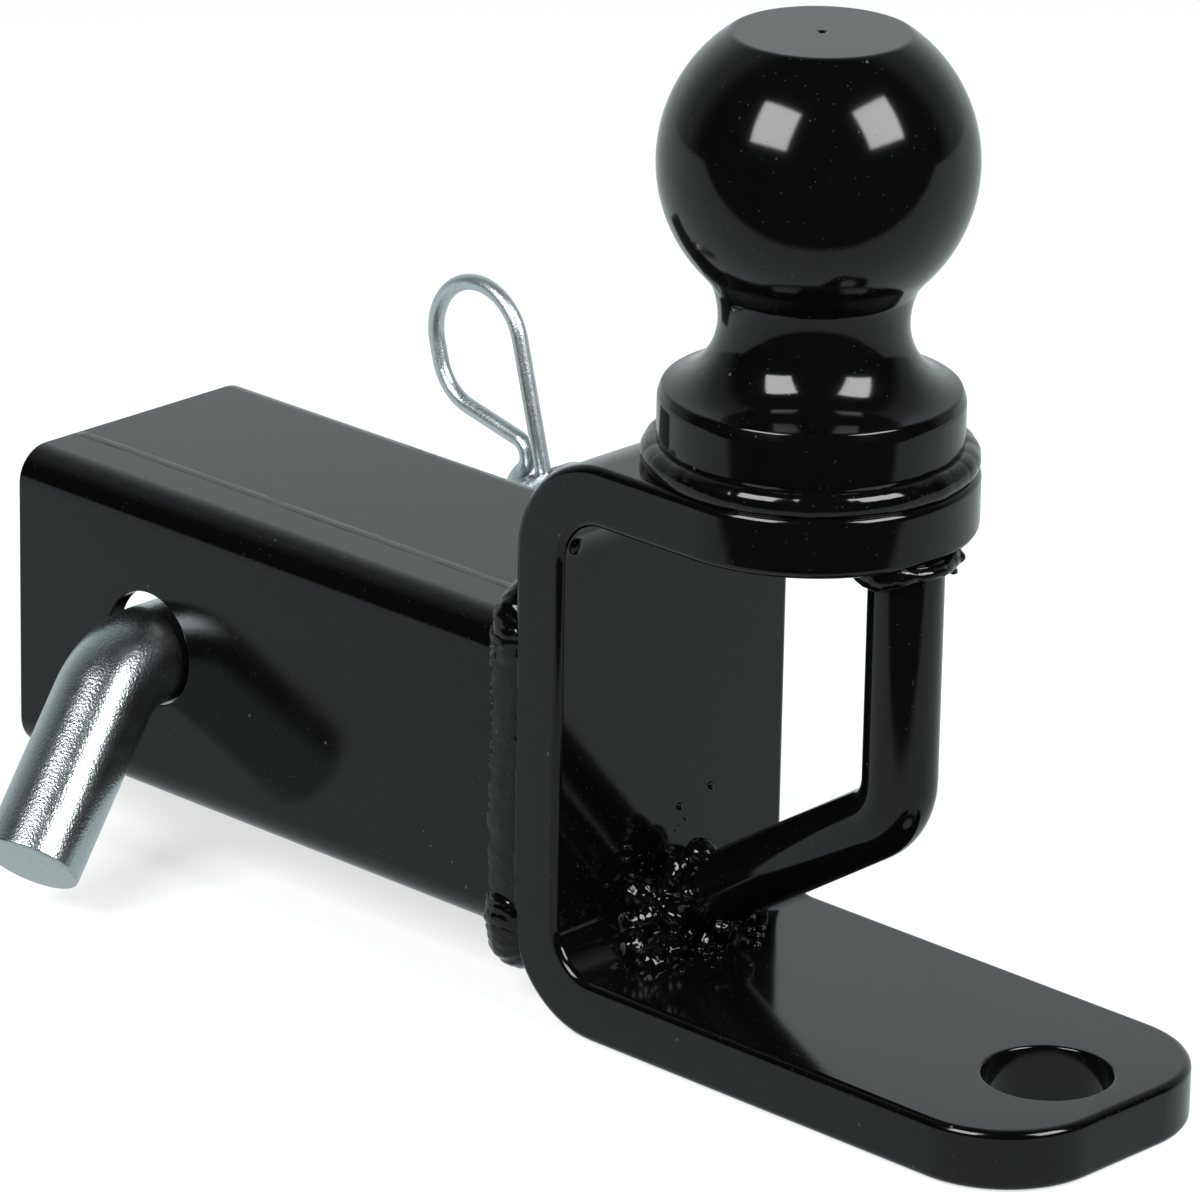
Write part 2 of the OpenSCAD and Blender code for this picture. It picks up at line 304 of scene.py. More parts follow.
def soften(profile, r, limit=math.radians(20), share_of_side=0.45, steps=4):
    """Rounds the corners of an open outline that turn by more than the limit"""
    points = [Vector(p) for p in profile]
    out = [points[0]]
    for a, b, c in zip(points, points[1:], points[2:]):
        back, ahead = a - b, c - b
        if min(back.length, ahead.length) < TINY:
            continue
        if math.pi - back.angle(ahead) < limit:
            out.append(b)
            continue
        cut = min(r, share_of_side * back.length, share_of_side * ahead.length)
        p, q = b + back.normalized() * cut, b + ahead.normalized() * cut
        for k in range(steps + 1):
            t = k / steps
            out.append((1 - t) ** 2 * p + 2 * t * (1 - t) * b + t ** 2 * q)
    return [tuple(p) for p in out + [points[-1]]]


def apply_modifiers(piece):
    """Turns the modifiers of a piece into mesh"""
    bpy.context.view_layer.update()
    done = bpy.data.meshes.new_from_object(
        piece.evaluated_get(bpy.context.evaluated_depsgraph_get()))
    piece.modifiers.clear()
    piece.data = done
    for polygon in done.polygons:
        polygon.use_smooth = True


def cut_with(piece, cutter):
    """Takes the cutter out of the piece and removes the cutter"""
    cut = piece.modifiers.new("Cut", "BOOLEAN")
    cut.operation = "DIFFERENCE"
    cut.solver = "EXACT"
    cut.object = cutter
    apply_modifiers(piece)
    bpy.data.objects.remove(cutter)


def remeshed(piece, voxel, smooth=3):
    """Joins overlapping lumps into one skin and smooths it"""
    skin = piece.modifiers.new("Skin", "REMESH")
    skin.mode = "VOXEL"
    skin.voxel_size = voxel
    skin.use_smooth_shade = True
    even = piece.modifiers.new("Even", "SMOOTH")
    even.factor = 0.5
    even.iterations = smooth
    apply_modifiers(piece)


def lump(bm, centre, axes, size, subdivisions=3):
    """An ellipsoid with its half sizes along three given axes"""
    turn = Matrix(axes).transposed().to_4x4()
    place = Matrix.Translation(centre) @ turn @ Matrix.Diagonal((*size, 1))
    bmesh.ops.create_icosphere(bm, subdivisions=subdivisions, radius=1, matrix=place)


# ---------------------------------------------------------------- shader groups

def shader_group(name, inputs, outputs):
    """An empty shader group with number inputs and the given outputs"""
    tree = bpy.data.node_groups.new(name, "ShaderNodeTree")
    for label, default in inputs:
        socket = tree.interface.new_socket(label, in_out="INPUT", socket_type="NodeSocketFloat")
        socket.default_value = default
    for label, kind in outputs:
        tree.interface.new_socket(label, in_out="OUTPUT", socket_type=kind)
    return tree, tree.nodes.new("NodeGroupInput"), tree.nodes.new("NodeGroupOutput")


def feed(tree, socket, value):
    """Links an output to a socket, or sets it to a number, a vector or a colour as a tuple"""
    if isinstance(value, bpy.types.NodeSocket):
        tree.links.new(value, socket)
    else:
        socket.default_value = (*value, 1) if isinstance(value, tuple) else value


def add_node(tree, kind, inputs, **settings):
    """A node with its settings, and its inputs as links or values"""
    node = tree.nodes.new("ShaderNode" + kind)
    for name, value in settings.items():
        setattr(node, name, value)
    for label, value in inputs.items():
        feed(tree, node.inputs[label], value)
    return node


def place_in(tree, kind="Object"):
    """Texture coordinates"""
    return add_node(tree, "TexCoord", {}).outputs[kind]


def tinted(tint, factor):
    """A colour made darker or brighter"""
    return tuple(c * factor for c in tint)


def math_node(tree, operation, a, b, clamp=False):
    """A sum, a product or a comparison of two values"""
    return add_node(tree, "Math", {0: a, 1: b}, operation=operation, use_clamp=clamp).outputs[0]


def noise_node(tree, vector, scale, detail=2.0, roughness=0.5):
    """Soft noise from 0 to 1"""
    return add_node(tree, "TexNoise", {"Vector": vector, "Scale": scale, "Detail": detail,
                                       "Roughness": roughness}).outputs[0]


def ripple_group():
    """Slow waves and fine orange peel, as a normal"""
    tree, into, out = shader_group(
        "Paint ripple",
        [("Wave Scale", 60.0), ("Wave Height", 1.0), ("Peel Scale", 1400.0), ("Peel Height", 1.0)],
        [("Normal", "NodeSocketVector")])
    place = place_in(tree)
    waves = [math_node(tree, "MULTIPLY",
                       noise_node(tree, place, into.outputs[f"{kind} Scale"], detail),
                       into.outputs[f"{kind} Height"])
             for kind, detail in (("Wave", 2.0), ("Peel", 1.0))]
    bump = add_node(tree, "Bump", {"Height": math_node(tree, "ADD", *waves), "Distance": MM})
    feed(tree, out.inputs["Normal"], bump.outputs["Normal"])


def specks_group():
    """Sparse specks of dust, as a mask"""
    tree, into, out = shader_group(
        "Dust specks", [("Scale", 900.0), ("Size", 0.16), ("Amount", 0.1)],
        [("Mask", "NodeSocketFloat")])
    cells = add_node(tree, "TexVoronoi",
                     {"Vector": place_in(tree), "Scale": into.outputs["Scale"]})
    near = math_node(tree, "LESS_THAN", cells.outputs["Distance"], into.outputs["Size"])
    split = add_node(tree, "SeparateColor", {0: cells.outputs["Color"]})
    rare = math_node(tree, "LESS_THAN", split.outputs[0], into.outputs["Amount"])
    feed(tree, out.inputs["Mask"], math_node(tree, "MULTIPLY", near, rare))


def placed(tree, group, **values):
    """A shader group in a material, with its own values"""
    inputs = {label.replace("_", " "): value for label, value in values.items()}
    return add_node(tree, "Group", inputs, node_tree=bpy.data.node_groups[group]).outputs[0]


def new_material(name):
    """A material with its Principled shader and node tree"""
    material = bpy.data.materials.new(name)
    material.use_nodes = True
    return material, material.node_tree, material.node_tree.nodes["Principled BSDF"]


def mix_colour(tree, mask, a, b):
    """The colour a where the mask is 0 and b where it is 1"""
    return add_node(tree, "Mix", {"Factor": mask, "A": a, "B": b},
                    data_type="RGBA").outputs["Result"]


def mapped(tree, value, low, high):
    """A value from 0 to 1 spread from low to high"""
    return add_node(tree, "MapRange",
                    {"Value": value, "To Min": low, "To Max": high}).outputs[0]


def enamel_material(name, paint, wave, peel, dust, dull=1.0):
    """Gloss black enamel with a little dust"""
    material, tree, shader = new_material(name)
    shader.inputs["IOR"].default_value = ENAMEL_IOR
    place = place_in(tree)
    ripple = placed(tree, "Paint ripple", Wave_Scale=45.0, Wave_Height=wave,
                    Peel_Scale=900.0, Peel_Height=peel)
    feed(tree, shader.inputs["Normal"], ripple)
    specks = placed(tree, "Dust specks", Scale=650.0, Size=0.17, Amount=dust)
    fine = placed(tree, "Dust specks", Scale=2100.0, Size=0.3, Amount=dust * 2)
    faint = math_node(tree, "MULTIPLY", fine, 0.3)
    mask = math_node(tree, "MAXIMUM", specks, faint)
    base = mix_colour(tree, noise_node(tree, place, scale=300.0, detail=3.0),
                      tinted(paint.enamel, 0.7), tinted(paint.enamel, 1.5))
    feed(tree, shader.inputs["Base Color"], mix_colour(tree, mask, base, tuple(paint.dust)))
    smear = mapped(tree, noise_node(tree, place, scale=38.0, detail=4.0, roughness=0.6),
                   low=paint.gloss * 0.6 * dull, high=paint.gloss * 1.5 * dull)
    rough = math_node(tree, "ADD", smear, math_node(tree, "MULTIPLY", mask, 0.5), clamp=True)
    feed(tree, shader.inputs["Roughness"], rough)


def zinc_material(name, paint, bright=1.0, dull=1.0):
    """Bright zinc plate with a fine crystal sparkle"""
    material, tree, shader = new_material(name)
    shader.inputs["Metallic"].default_value = 1.0
    zinc = tinted(paint.zinc, bright)
    ripple = placed(tree, "Paint ripple", Wave_Scale=420.0, Wave_Height=0.006,
                    Peel_Scale=2600.0, Peel_Height=0.055)
    feed(tree, shader.inputs["Normal"], ripple)
    cloud = noise_node(tree, place_in(tree), scale=160.0, detail=5.0, roughness=0.6)
    base = mix_colour(tree, cloud, tinted(zinc, 0.8), zinc)
    crystals = placed(tree, "Dust specks", Scale=2600.0, Size=0.34, Amount=0.16)
    feed(tree, shader.inputs["Base Color"],
         mix_colour(tree, crystals, base, tinted(zinc, 0.55)))
    feed(tree, shader.inputs["Roughness"],
         mapped(tree, cloud, low=paint.zinc_gloss * 0.75 * dull,
                high=paint.zinc_gloss * 1.35 * dull))


class HITCH_OT_finishes(bpy.types.Operator):
    """Builds the shader groups and the materials"""

    bl_idname = "hitch.finishes"
    bl_label = "Finishes"

    def execute(self, context):
        paint = context.scene.hitch_paint
        ripple_group()
        specks_group()
        enamel_material("enamel", paint, wave=0.010, peel=0.0006, dust=0.018)
        enamel_material("enamel_tube", paint, wave=0.012, peel=0.0009, dust=0.018, dull=1.2)
        enamel_material("enamel_bar", paint, wave=0.020, peel=0.0008, dust=0.018)
        enamel_material("enamel_bead", paint, wave=0.02, peel=0.0015, dust=0.04)
        zinc_material("zinc_plate", paint)
        zinc_material("zinc_wire", paint, bright=1.35, dull=1.4)
        return {"FINISHED"}


# ---------------------------------------------------------------- shank

def square_ring(half, r):
    """Corner arcs of a rounded square in Y and Z, counter-clockwise from the middle of +Y"""
    inner = half - r
    points = []
    for k, (y, z) in enumerate([(1, 1), (-1, 1), (-1, -1), (1, -1)]):
        points += arc(y * inner, z * inner, r, k * math.pi / 2, (k + 1) * math.pi / 2,
                      math.radians(9))
    return points


def hole_edge_rows(bore, depth_from, depth_to, rounding):
    """(radius, depth) rows of a hole through a wall, with both edges rounded"""
    way = 1 if depth_to > depth_from else -1
    near = [(bore + inset, depth_from + way * drop) for inset, drop in quarter(rounding)]
    far = [(bore + inset, depth_to - way * drop) for inset, drop in reversed(quarter(rounding))]
    return near + far


class HITCH_OT_shank(bpy.types.Operator):
    """Builds the square tube with its pin holes and its seam"""

    bl_idname = "hitch.shank"
    bl_label = "Shank"

    def execute(self, context):
        sizes = context.scene.hitch_shank
        half = TUBE_HIGH.y
        bm = bmesh.new()
        outer = square_ring(half, sizes.corner)
        inner = square_ring(half - sizes.wall, max(sizes.corner - sizes.wall, MM))
        edge = quarter(sizes.end_round)
        rows = [(TUBE_HIGH.x, inner, 0.0), (TUBE_LOW.x + sizes.end_round, inner, 0.0)]
        rows += [(TUBE_LOW.x + drop, inner, -inset) for inset, drop in reversed(edge[:-1])]
        rows += [(TUBE_LOW.x + drop, outer, inset) for inset, drop in edge[:-1]]
        rows += [(TUBE_LOW.x + sizes.end_round, outer, 0.0), (TUBE_HIGH.x, outer, 0.0)]
        loops = []
        for x, points, inset in rows:
            reach = max(p[0] for p in points)
            scale = (reach - inset) / reach
            loops.append(ring_of(bm, [(x, y * scale, z * scale) for y, z in points]))
        per_corner = len(outer) // 4
        holed = (len(outer) - 1, 2 * per_corner - 1)
        for k, (a, b) in enumerate(zip(loops, loops[1:])):
            long_wall = k in (0, len(loops) - 2)
            for i in range(len(a)):
                if long_wall and i in holed:
                    continue
                j = (i + 1) % len(a)
                bm.faces.new((a[i], a[j], b[j], b[i]))
        bridge(bm, loops[-1], loops[0])
        for i, side in zip(holed, (1, -1)):
            j = (i + 1) % len(outer)
            rows = hole_edge_rows(sizes.hole / 2, half, half - sizes.wall, sizes.hole_round)
            rims = [ring_of(bm, [(x, side * y, z) for x, z in circle(r)]) for r, y in rows]
            join_rings(bm, rims)
            out_loop = [loops[-2][i], loops[-2][j], loops[-1][j], loops[-1][i]]
            in_loop = [loops[0][i], loops[0][j], loops[1][j], loops[1][i]]
            fill_between(bm, out_loop, [rims[0]])
            fill_between(bm, in_loop, [rims[-1]])
        keep_flats(new_piece("square_tube", bm, "enamel_tube", "hitch",
                             ["shank_tube"]))
        self.add_seam(sizes, half)
        return {"FINISHED"}

    def add_seam(self, sizes, half):
        """The low flash of the tube's own weld, under the paint"""
        width, height, sunk = 2.2 * MM, 0.09 * MM, 0.04 * MM
        sway, steps, join_gap = 0.15 * MM, 90, 7.5 * MM
        bm = bmesh.new()
        rows = []
        for x in np.linspace(TUBE_LOW.x + sizes.end_round, TUBE_HIGH.x - join_gap, steps):
            shift = sway * noise.noise(Vector((x * 90, 3.1, 0)))
            tall = height * (1 + 0.5 * noise.noise(Vector((x * 260, 9.7, 0))))
            rows.append(ring_of(bm, [
                (x, -sizes.seam_place + shift + width / 2 * math.cos(t),
                 half - sunk + tall * math.sin(t)) for t in np.linspace(0, math.pi, 9)]))
        join_rings(bm, rows)
        for end in (rows[0], rows[-1]):
            bm.faces.new(end)
        new_piece("tube_seam", bm, "enamel_tube", "hitch")


# ---------------------------------------------------------------- bracket

def bracket_stations(sizes):
    """Cross lines of the bent bar from the tongue's end to the tip of the top leg.

    Each gives the outer surface point for an inset, the way into the bar and the half width.
    """
    half = BAR_HIGH.y
    bend_out = sizes.bend + BAR_THICK
    centre_x = BAR_LOW.x + bend_out
    low_z, high_z = BAR_LOW.z + bend_out, BAR_HIGH.z - bend_out
    end_x = BAR_HIGH.x - sizes.corner
    straight = half - sizes.corner
    top_x = BALL_CENTRE.x
    stations = []

    def add(x, z, into, width):
        stations.append((x, z, Vector(into), width))

    for t in np.linspace(0, math.pi / 2, BEND_STATIONS):
        add(lambda d, t=t: end_x + (sizes.corner - d) * math.cos(t), BAR_LOW.z, (0, 1),
            lambda d, t=t: straight + (sizes.corner - d) * math.sin(t))
    for z, start, end in ((low_z, 1.5 * math.pi, math.pi), (high_z, math.pi, 0.5 * math.pi)):
        for t in np.linspace(start, end, BEND_STATIONS):
            add(lambda d, t=t: centre_x + bend_out * math.cos(t), z + bend_out * math.sin(t),
                (-math.cos(t), -math.sin(t)), lambda d: half - d)
    for t in np.linspace(math.pi / 2, 0, LEG_STATIONS):
        add(lambda d, t=t: top_x + (half - d) * math.cos(t), BAR_HIGH.z, (0, -1),
            lambda d, t=t: (half - d) * math.sin(t))
    return stations


class HITCH_OT_bracket(bpy.types.Operator):
    """Builds the bent flat bar with rounded edges and the drawbar hole"""

    bl_idname = "hitch.bracket"
    bl_label = "Bracket"

    def execute(self, context):
        sizes = context.scene.hitch_bracket
        bm = bmesh.new()
        stations = bracket_stations(sizes)
        edge = quarter(sizes.edge)
        rows = edge + [(inset, BAR_THICK - drop) for inset, drop in reversed(edge)]
        loops = [self.row(bm, stations, inset, depth) for inset, depth in rows]
        join_rings(bm, loops)
        hole_rows = hole_edge_rows(TONGUE_HOLE_R, BAR_LOW.z, BAR_LOW.z + BAR_THICK,
                                   sizes.hole_edge)
        rims = [ring_of(bm, [(TONGUE_HOLE.x + x, y, z) for x, y in circle(r)])
                for r, z in hole_rows]
        join_rings(bm, rims)
        self.face(bm, loops[0], len(stations), rims[0])
        self.face(bm, loops[-1], len(stations), rims[-1])
        keep_flats(new_piece("bracket_bar", bm, "enamel_bar", "hitch",
                             ["bracket_plate"]))
        return {"FINISHED"}

    def row(self, bm, stations, inset, depth):
        """One closed line round the bar at an inset from its outline and a depth into it"""
        left, right = [], []
        for x, z, into, width in stations:
            px, pz = x(inset) + into.x * depth, z + into.y * depth
            w = width(inset)
            left.append((px, w, pz))
            right.append((px, -w, pz))
        return ring_of(bm, left + right[-2::-1])

    def face(self, bm, loop, count, rim):
        """Fills one side of the bar; the bends are strips and the flats are single faces"""
        def left(i):
            return loop[i]

        def right(i):
            return loop[-1 - i] if i < count - 1 else loop[i]

        first, last = BEND_STATIONS, 3 * BEND_STATIONS - 1
        tongue = [left(i) for i in range(first + 1)] + [right(i) for i in range(first, -1, -1)]
        fill_between(bm, tongue, [rim])
        for i in range(first, last):
            bm.faces.new((left(i), left(i + 1), right(i + 1), right(i)))
        leg = [left(i) for i in range(last, count)]
        leg += [right(i) for i in range(count - 2, last - 1, -1)]
        bm.faces.new(leg)


# ---------------------------------------------------------------- ball

class HITCH_OT_ball(bpy.types.Operator):
    """Builds the ball, its neck, flare and base as one turned piece"""

    bl_idname = "hitch.ball"
    bl_label = "Ball"

    def execute(self, context):
        sizes = context.scene.hitch_ball
        radius = (BALL_HIGH.y - BALL_LOW.y) / 2
        seat = BALL_LOW.z
        rise, summit = BALL_CENTRE.z - seat, BALL_HIGH.z - seat
        underside, lift, edge = 4.0 * MM, 0.02 * MM, 0.45 * MM
        base, neck, flat = sizes.base / 2, sizes.neck / 2, sizes.flat / 2
        rim_r, rim_z = base - sizes.bevel_width, sizes.base_height + sizes.bevel_height
        flare_x = neck + sizes.flare
        flare_z = rim_z + math.sqrt(sizes.flare ** 2 - (flare_x - rim_r) ** 2)
        low = math.atan2(rim_z - flare_z, rim_r - flare_x) + 2 * math.pi
        outline = [(base - underside, lift), (base, lift), (base, sizes.base_height)]
        outline += arc(flare_x, flare_z, sizes.flare, low, math.pi, math.radians(4))
        waist = Vector((neck + sizes.waist, flare_z))
        reach = (waist - Vector((0, rise))).length
        meet = math.acos((reach ** 2 + sizes.waist ** 2 - radius ** 2)
                         / (2 * reach * sizes.waist))
        top = math.atan2(rise - waist.y, -waist.x) + meet
        outline += arc(*waist, sizes.waist, math.pi, top, math.radians(4))[1:]
        start = math.atan2(outline[-1][1] - rise, outline[-1][0])
        outline += arc(0, rise, radius, start, math.acos(flat / radius), math.radians(3))
        outline += [(sizes.punch, summit), (0.25 * sizes.punch, summit - 0.7 * sizes.punch)]
        outline = soften(outline, edge)
        outline += [(0, outline[-1][1])]
        bm = bmesh.new()
        rings = revolve(bm, outline, (BALL_CENTRE.x, 0, seat), BALL_RING)
        bm.faces.new(rings[0])
        keep_flats(new_piece("tow_ball", bm, "enamel", "hitch",
                             ["hitch_ball"]))
        return {"FINISHED"}


# ---------------------------------------------------------------- rod, pin and clip

def flat_path(runs, step=math.radians(6)):
    """Points along straight runs and arcs given as ("line", p, q) or ("arc", c, r, a0, a1)"""
    points = []
    for kind, *at in runs:
        run = at if kind == "line" else arc(*at[0], *at[1:], step)
        for p in map(Vector, run):
            if not points or (p - points[-1]).length > TINY:
                points.append(p)
    return points


def round_ends(path, radius, rounding, ends=(True, True)):
    """Adds the rounded edges of the cut ends to a path; returns the path and its radii"""
    out, radii = list(path), [radius] * len(path)
    profile = quarter(rounding)
    for which, wanted in zip((0, 1), ends):
        a, b = (out[0], out[1]) if which == 0 else (out[-1], out[-2])
        into = (b - a).normalized()
        if wanted:
            cap = [(a, 0.0)] + [(a + into * drop, radius - inset) for inset, drop in profile]
        else:
            cap = [(a, 0.0), (a, radius), (a + FLAT_END * into, radius)]
        cap_points, cap_radii = [c[0] for c in cap], [c[1] for c in cap]
        if which == 0:
            out, radii = cap_points + out[1:], cap_radii + radii[1:]
        else:
            out, radii = out[:-1] + cap_points[::-1], radii[:-1] + cap_radii[::-1]
    return out, radii


def nudge_tips(path):
    """Keeps the first and last direction well defined where points coincide"""
    path = list(path)
    path[1] = path[1] + (path[2] - path[1]).normalized() * TINY
    path[-2] = path[-2] + (path[-3] - path[-2]).normalized() * TINY
    return path


def loop_sizes(wire, bracket):
    """Points of the tow loop in X and Z"""
    bend_out = bracket.bend + BAR_THICK
    corner = Vector((BAR_LOW.x + bend_out, BAR_LOW.z + bend_out))
    r = wire.loop / 2
    x = BALL_CENTRE.x + BAR_HIGH.y - r
    knee = Vector((x, BAR_LOW.z + BAR_THICK + wire.loop_knee))
    angle = math.atan2(knee.y - corner.y, knee.x - corner.x)
    turn = math.pi / 2 - angle
    trim = wire.loop_bend * math.tan(turn / 2)
    ahead = Vector((math.cos(angle), math.sin(angle)))
    top = Vector((x, knee.y + trim))
    low = knee - trim * ahead
    foot = corner - FOOT_PAST_BEND * ahead
    under = Vector((x, BAR_HIGH.z - BAR_THICK))
    return {"corner": corner, "foot": foot, "low": low, "top": top, "turn": turn,
            "under": under, "ahead": ahead, "r": r}


class HITCH_OT_tow_loop(bpy.types.Operator):
    """Builds the rod that is bent into the tow loop"""

    bl_idname = "hitch.tow_loop"
    bl_label = "Tow loop"

    def execute(self, context):
        wire = context.scene.hitch_wire
        at = loop_sizes(wire, context.scene.hitch_bracket)
        bend = at["top"] - Vector((wire.loop_bend, 0))
        flat = flat_path([("line", at["foot"], at["low"]),
                          ("arc", bend, wire.loop_bend, -at["turn"], 0.0),
                          ("line", at["top"], at["under"])])
        path, radii = round_ends([standing(p) for p in flat], at["r"], CUT_EDGE, (True, False))
        bm = bmesh.new()
        sweep(bm, nudge_tips(path), ACROSS, radii)
        new_piece("tow_loop_rod", bm, "enamel", "hitch", ["tow_loop"])
        return {"FINISHED"}


def pin_point(across, up):
    """A point on the pin's own plane; across runs towards the handle"""
    return Vector((0, -across, PIN_AXIS_Z)) + up * CLIP_AXIS


class HITCH_OT_pin(bpy.types.Operator):
    """Builds the bent receiver pin with the hole for its clip"""

    bl_idname = "hitch.pin"
    bl_label = "Receiver pin"

    def execute(self, context):
        wire = context.scene.hitch_wire
        r, half = wire.pin / 2, TUBE_HIGH.y
        bend_angle = math.radians(46)
        elbow = Vector((half, -wire.pin_bend))
        start = elbow + wire.pin_bend * Vector((math.sin(bend_angle), math.cos(bend_angle)))
        end = start + wire.handle * Vector((math.cos(bend_angle), -math.sin(bend_angle)))
        bend = ("arc", elbow, wire.pin_bend, math.pi / 2, math.pi / 2 - bend_angle)
        flat = flat_path([("line", (-PIN_HIGH.y, 0), (half, 0)), bend, ("line", start, end)],
                         math.radians(3))
        path, radii = round_ends([pin_point(p.x, p.y) for p in flat], r, CUT_EDGE,
                                 (False, True))
        tip = pin_point(-PIN_HIGH.y, 0)
        bevel, soft, near = 1.5 * MM, 0.3 * MM, 0.05 * MM
        along = (path[2] - tip).normalized()
        nose = [(0.0, 0.0), (0.0, r - bevel), (soft - near, r - bevel + soft),
                (bevel, r - near), (bevel + soft, r)]
        path = [tip + depth * along for depth, _ in nose] + path[3:]
        radii = [radius for _, radius in nose] + radii[3:]
        bm = bmesh.new()
        sweep(bm, nudge_tips(path), CLIP_SIDE, radii, PIN_RING)
        pin = new_piece("receiver_pin", bm, "zinc_plate", "pin", ["hitch_pin"])
        bore = bmesh.new()
        hole_r = wire.clip / 2 + CLIP_GAP
        centre, reach = pin_point(-CLIP_Y, 0), 1.5 * r
        sweep(bore, [centre + out * CLIP_AXIS
                     for out in (-reach, TINY - reach, reach - TINY, reach)],
              ACROSS, [0.0, hole_r, hole_r, 0.0], WIRE_RING)
        cut_with(pin, new_object("clip_bore", bore))
        keep_flats(pin)
        return {"FINISHED"}


class HITCH_OT_clip(bpy.types.Operator):
    """Builds the spring clip from one bent wire"""

    bl_idname = "hitch.clip"
    bl_label = "Spring clip"

    def execute(self, context):
        wire = context.scene.hitch_wire
        d, width = wire.clip, wire.clip_loop
        leg, loop_z, slope = 21.0 * MM, 30.3 * MM, math.radians(28)
        side_r, throat_r, tail_r = 9.0 * MM, 3.0 * MM, 4.0 * MM
        bow_end, tail_turn = math.radians(235), math.radians(60)
        bow_r = wire.pin / 2 + d / 2 + CLIP_GAP
        throat_u = -(d + CLIP_GAP) - throat_r
        throat_s = math.sqrt((bow_r + throat_r) ** 2 - throat_u ** 2)
        bow_start = math.atan2(throat_s, throat_u)
        slope_end = Vector((throat_u + throat_r * math.sin(slope),
                            throat_s + throat_r * math.cos(slope)))
        side_turn = math.pi / 2 - slope
        side_u = side_r - width
        slope_u = side_u - side_r * math.cos(side_turn)
        slope_l = (slope_end.x - slope_u) / math.cos(slope)
        slope_s = slope_end.y + slope_l * math.sin(slope)
        side_s = slope_s + side_r * math.sin(side_turn)
        tail = (bow_r + tail_r) * Vector((math.cos(bow_end), math.sin(bow_end)))
        tail_in = bow_end - math.pi
        runs = [("line", (0, -leg), (0, loop_z)),
                ("arc", (-width / 2, loop_z), width / 2, 0, math.pi),
                ("line", (-width, loop_z), (-width, side_s)),
                ("arc", (side_u, side_s), side_r, math.pi, math.pi + side_turn),
                ("line", (slope_u, slope_s), slope_end),
                ("arc", (throat_u, throat_s), throat_r, math.pi / 2 - slope,
                 bow_start - math.pi),
                ("arc", (0, 0), bow_r, bow_start, bow_end),
                ("arc", tail, tail_r, tail_in, tail_in - tail_turn)]
        flat = flat_path(runs, math.radians(4))
        centre = pin_point(-CLIP_Y, 0)
        path = [centre + p.x * CLIP_SIDE + p.y * CLIP_AXIS for p in flat]
        path, radii = round_ends(path, d / 2, 0.45 * MM)
        bm = bmesh.new()
        sweep(bm, nudge_tips(path), ACROSS, radii, WIRE_RING)
        new_piece("spring_clip", bm, "zinc_wire", "clip", ["r_clip"])
        return {"FINISHED"}


# ---------------------------------------------------------------- welds

def scallop(turns, steep=1.7, crest=0.42):
    """A row of overlapping ripples, from 0 to 1"""
    return math.sqrt(max(0.0, 1 - (steep * (turns % 1.0 - crest)) ** 2))


def ring_bead(bm, centre, path_r, section, pitch, rough, size=lambda t: 1.0, seed=0.0):
    """A closed bead round a vertical axis, rippled along its length"""
    step, sides, grain, ripple = 0.45 * MM, 20, 4 * MM, 0.04
    count = int(2 * math.pi * path_r / step)
    ripples = round(2 * math.pi * path_r / pitch)
    rings = []
    for t in (2 * math.pi * k / count for k in range(count)):
        way = Vector((math.cos(t), math.sin(t), 0))
        spot = way * path_r
        worn = noise.noise(Vector((spot.x, spot.y, seed)) / grain)
        wave = scallop(ripples * t / (2 * math.pi) + 0.15 * worn)
        a = section * size(t) * (1 - ripple + ripple * wave + rough * worn)
        rings.append(ring_of(bm, [centre + spot + a * (c * way + s * Vector((0, 0, 1)))
                                  for c, s in circle(1.0, sides)]))
    join_rings(bm, rings + rings[:1])


def roughen(piece, height, size, seed):
    """Moves the skin in and out by noise"""
    mesh = piece.data
    normals = [v.normal.copy() for v in mesh.vertices]
    for v, normal in zip(mesh.vertices, normals):
        n = noise.noise(v.co / size + Vector((seed, 0, 0)))
        n += 0.5 * noise.noise(v.co / (0.45 * size) + Vector((0, seed, 0)))
        v.co += normal * height * n
    mesh.update()


# Lumps of the bead round the tube, in millimetres: how far back from the bracket, how proud
# of the tube, and the half sizes along the tube, away from it and along the bead
SIDE_LUMP = (1.9, -0.75, 4.2, 1.1, 3.2)
TOP_LUMP = (2.3, 2.1, 3.9, 4.2, 3.2)
BOTTOM_LUMP = (1.5, 2.1, 3.9, 4.2, 3.2)


